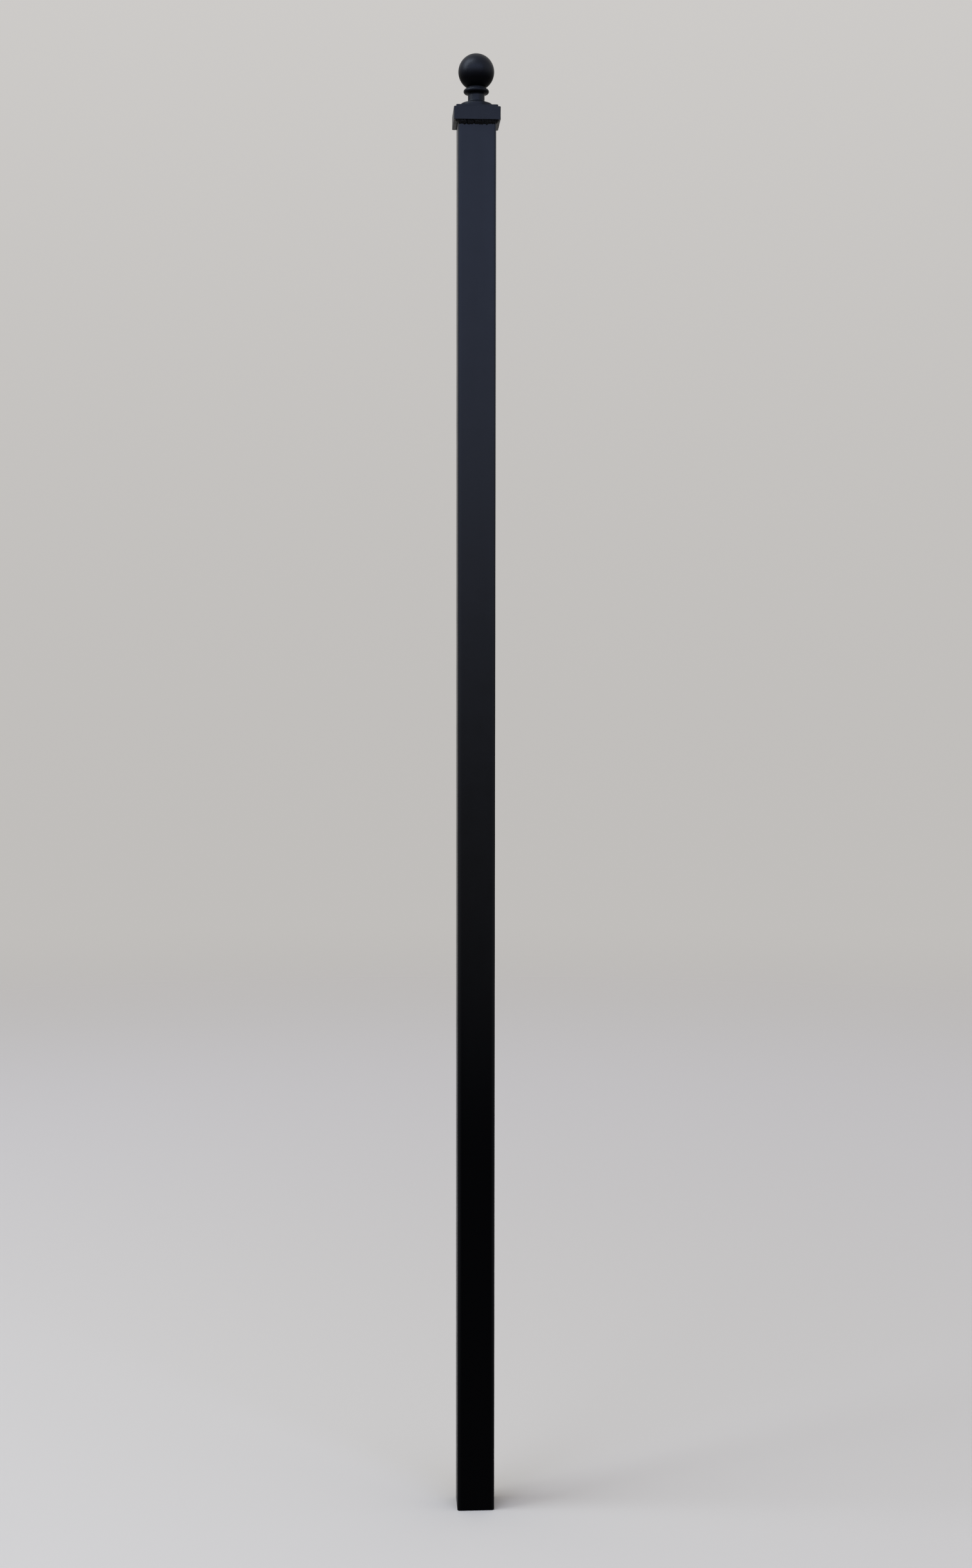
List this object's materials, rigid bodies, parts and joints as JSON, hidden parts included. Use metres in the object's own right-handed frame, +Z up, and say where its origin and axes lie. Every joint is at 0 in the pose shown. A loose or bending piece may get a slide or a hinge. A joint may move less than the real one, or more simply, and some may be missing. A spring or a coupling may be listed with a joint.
{
  "type": "fence post with ball cap",
  "caption": "Square steel tube fence post with a welded cast cap and a ball finial, finished in satin black enamel.",
  "frame": {"origin": "the middle of the tube's cut foot, on the plane of its end face", "axes": "+Z up along the tube, -Y the front that the picture shows, +X to the right in the picture"},
  "size_m": [0.062, 0.062, 1.974],
  "materials": {
    "tube_enamel": "satin black enamel on drawn steel tube, faint orange peel",
    "casting_enamel": "satin black enamel over cast iron, faintly uneven",
    "weld_enamel": "black paint over a rough weld bead"
  },
  "bodies": {
    "root": {"post_tube": "tube_enamel", "post_cap": "casting_enamel", "ball_finial": "casting_enamel", "weld_front": "weld_enamel", "weld_back": "weld_enamel"}
  },
  "joints": []
}
